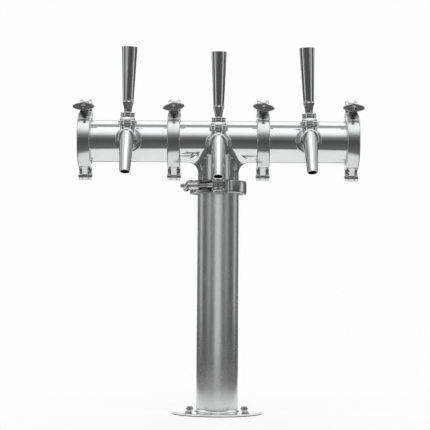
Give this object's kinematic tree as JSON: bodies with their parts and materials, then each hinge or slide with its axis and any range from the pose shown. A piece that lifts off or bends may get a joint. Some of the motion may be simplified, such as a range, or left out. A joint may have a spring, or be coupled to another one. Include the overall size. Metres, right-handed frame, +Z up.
{
  "type": "beer tap tower",
  "caption": "Tee-shaped draught beer tower: polished tubes joined by hinged clamps with wing nuts, lever faucets with flared chrome handles, on a brushed column and round base plate.",
  "frame": {"origin": "centre of the base's underside, on the counter surface", "axes": "+Z up the column, faucets point towards -Y, arms lie along X"},
  "size_m": [0.5286, 0.2041, 0.689],
  "materials": {
    "polished_tube": "mirror polished stainless steel",
    "brushed_tube": "satin stainless steel brushed along the tube",
    "polished_plate": "polished stainless plate",
    "clamp_casting": "tumbled and polished stainless casting",
    "wing_nut_casting": "satin stainless casting, darker than the tube",
    "bolt_steel": "machined stainless steel",
    "faucet_steel": "polished stainless casting",
    "handle_chrome": "bright chrome plate",
    "inner_steel": "as-machined stainless steel",
    "seal_rubber": "black rubber",
    "white_silicone": "white food-grade silicone",
    "clear_hose": "translucent food-grade hose",
    "blue_hose": "blue coolant hose",
    "foam": "pale yellow foam"
  },
  "bodies": {
    "tower": {"base_gasket": "seal_rubber", "base_plate": "polished_plate", "base_screws": "bolt_steel", "base_washers": "bolt_steel", "column_tube": "brushed_tube", "center_tee": "polished_tube", "left_arm_tube": "polished_tube", "right_arm_tube": "polished_tube", "left_end_cap": "polished_tube", "right_end_cap": "polished_tube", "joint_gaskets": "white_silicone", "clamp_pins": "bolt_steel", "shanks": "inner_steel", "shank_nuts": "inner_steel", "coupling_nuts": "faucet_steel", "tailpieces": "inner_steel", "ball_seals": "seal_rubber", "seat_seals": "seal_rubber", "shank_flanges": "faucet_steel", "beer_lines": "clear_hose", "coolant_line": "blue_hose", "foam_fill": "foam", "left_faucet_body": "faucet_steel", "left_bonnet": "faucet_steel", "center_faucet_body": "faucet_steel", "center_bonnet": "faucet_steel", "right_faucet_body": "faucet_steel", "right_bonnet": "faucet_steel", "left_end_clamp_rear_half": "clamp_casting", "left_inner_clamp_rear_half": "clamp_casting", "right_inner_clamp_rear_half": "clamp_casting", "right_end_clamp_rear_half": "clamp_casting", "column_clamp_rear_half": "clamp_casting"},
    "left_tap_handle": {"left_handle": "handle_chrome", "left_lever": "inner_steel", "left_lever_collar": "faucet_steel"},
    "left_valve": {"left_valve_shaft": "inner_steel"},
    "center_tap_handle": {"center_handle": "handle_chrome", "center_lever": "inner_steel", "center_lever_collar": "faucet_steel"},
    "center_valve": {"center_valve_shaft": "inner_steel"},
    "right_tap_handle": {"right_handle": "handle_chrome", "right_lever": "inner_steel", "right_lever_collar": "faucet_steel"},
    "right_valve": {"right_valve_shaft": "inner_steel"},
    "left_end_clamp_front": {"left_end_clamp_front_half": "clamp_casting"},
    "left_end_bolt": {"left_end_swing_bolt": "bolt_steel"},
    "left_end_nut": {"left_end_wing_nut": "wing_nut_casting"},
    "left_inner_clamp_front": {"left_inner_clamp_front_half": "clamp_casting"},
    "left_inner_bolt": {"left_inner_swing_bolt": "bolt_steel"},
    "left_inner_nut": {"left_inner_wing_nut": "wing_nut_casting"},
    "right_inner_clamp_front": {"right_inner_clamp_front_half": "clamp_casting"},
    "right_inner_bolt": {"right_inner_swing_bolt": "bolt_steel"},
    "right_inner_nut": {"right_inner_wing_nut": "wing_nut_casting"},
    "right_end_clamp_front": {"right_end_clamp_front_half": "clamp_casting"},
    "right_end_bolt": {"right_end_swing_bolt": "bolt_steel"},
    "right_end_nut": {"right_end_wing_nut": "wing_nut_casting"},
    "column_clamp_front": {"column_clamp_front_half": "clamp_casting"},
    "column_bolt": {"column_swing_bolt": "bolt_steel"},
    "column_nut": {"column_wing_nut": "wing_nut_casting"}
  },
  "joints": [
    {"name": "left_handle_pull", "type": "hinge", "parent": "tower", "child": "left_tap_handle", "pos_m": [-0.16227, -0.077, 0.52599], "axis": [0.9997, 0, -0.0262], "range_deg": [0, 22]},
    {"name": "left_valve_slide", "type": "slide", "parent": "tower", "child": "left_valve", "axis": [0, 1, 0], "range_m": [0, 0.0073]},
    {"name": "center_handle_pull", "type": "hinge", "parent": "tower", "child": "center_tap_handle", "pos_m": [0, -0.077, 0.518], "axis": [1, 0, 0], "range_deg": [0, 22]},
    {"name": "center_valve_slide", "type": "slide", "parent": "tower", "child": "center_valve", "axis": [0, 1, 0], "range_m": [0, 0.0073]},
    {"name": "right_handle_pull", "type": "hinge", "parent": "tower", "child": "right_tap_handle", "pos_m": [0.16178, -0.077, 0.52597], "axis": [0.999, 0, 0.0436], "range_deg": [0, 22]},
    {"name": "right_valve_slide", "type": "slide", "parent": "tower", "child": "right_valve", "axis": [0, 1, 0], "range_m": [0, 0.0073]},
    {"name": "left_end_bolt_swing", "type": "hinge", "parent": "tower", "child": "left_end_bolt", "pos_m": [-0.2445, 0.014, 0.5675], "axis": [-1, 0, 0], "range_deg": [0, 100]},
    {"name": "left_end_clamp_open", "type": "hinge", "parent": "tower", "child": "left_end_clamp_front", "pos_m": [-0.2445, 0, 0.4355], "axis": [1, 0, 0], "range_deg": [0, 25.5]},
    {"name": "left_end_nut_spin", "type": "hinge", "parent": "left_end_bolt", "child": "left_end_nut", "pos_m": [-0.2445, -0.03038, 0.56007], "axis": [0, -0.9863, -0.165], "continuous": true},
    {"name": "left_inner_bolt_swing", "type": "hinge", "parent": "tower", "child": "left_inner_bolt", "pos_m": [-0.0815, 0.014, 0.5675], "axis": [-1, 0, 0], "range_deg": [0, 100]},
    {"name": "left_inner_clamp_open", "type": "hinge", "parent": "tower", "child": "left_inner_clamp_front", "pos_m": [-0.0815, 0, 0.4355], "axis": [1, 0, 0], "range_deg": [0, 25.5]},
    {"name": "left_inner_nut_spin", "type": "hinge", "parent": "left_inner_bolt", "child": "left_inner_nut", "pos_m": [-0.0815, -0.03038, 0.56007], "axis": [0, -0.9863, -0.165], "continuous": true},
    {"name": "right_inner_bolt_swing", "type": "hinge", "parent": "tower", "child": "right_inner_bolt", "pos_m": [0.0815, 0.014, 0.5675], "axis": [-1, 0, 0], "range_deg": [0, 100]},
    {"name": "right_inner_clamp_open", "type": "hinge", "parent": "tower", "child": "right_inner_clamp_front", "pos_m": [0.0815, 0, 0.4355], "axis": [1, 0, 0], "range_deg": [0, 25.5]},
    {"name": "right_inner_nut_spin", "type": "hinge", "parent": "right_inner_bolt", "child": "right_inner_nut", "pos_m": [0.0815, -0.03038, 0.56007], "axis": [0, -0.9863, -0.165], "continuous": true},
    {"name": "right_end_bolt_swing", "type": "hinge", "parent": "tower", "child": "right_end_bolt", "pos_m": [0.2445, 0.014, 0.5675], "axis": [-1, 0, 0], "range_deg": [0, 100]},
    {"name": "right_end_clamp_open", "type": "hinge", "parent": "tower", "child": "right_end_clamp_front", "pos_m": [0.2445, 0, 0.4355], "axis": [1, 0, 0], "range_deg": [0, 25.5]},
    {"name": "right_end_nut_spin", "type": "hinge", "parent": "right_end_bolt", "child": "right_end_nut", "pos_m": [0.2445, -0.03038, 0.56007], "axis": [0, -0.9863, -0.165], "continuous": true},
    {"name": "column_bolt_swing", "type": "hinge", "parent": "tower", "child": "column_bolt", "pos_m": [-0.00034, -0.06894, 0.415], "axis": [0, 0, 1], "range_deg": [0, 45]},
    {"name": "column_clamp_open", "type": "hinge", "parent": "tower", "child": "column_clamp_front", "pos_m": [0.01341, 0.06309, 0.415], "axis": [0, 0, -1], "range_deg": [0, 11.75]},
    {"name": "column_nut_spin", "type": "hinge", "parent": "column_bolt", "child": "column_nut", "pos_m": [-0.04221, -0.05244, 0.415], "axis": [-0.9304, 0.3665, 0], "continuous": true}
  ],
  "couplings": [
    {"joint": "left_valve_slide", "follows": "left_handle_pull", "m_per_rad": 0.01902},
    {"joint": "center_valve_slide", "follows": "center_handle_pull", "m_per_rad": 0.01902},
    {"joint": "right_valve_slide", "follows": "right_handle_pull", "m_per_rad": 0.01902},
    {"joint": "left_end_clamp_open", "follows": "left_end_bolt_swing", "ratio": 0.25},
    {"joint": "left_inner_clamp_open", "follows": "left_inner_bolt_swing", "ratio": 0.25},
    {"joint": "right_inner_clamp_open", "follows": "right_inner_bolt_swing", "ratio": 0.25},
    {"joint": "right_end_clamp_open", "follows": "right_end_bolt_swing", "ratio": 0.25},
    {"joint": "column_clamp_open", "follows": "column_bolt_swing", "ratio": 0.25}
  ]
}
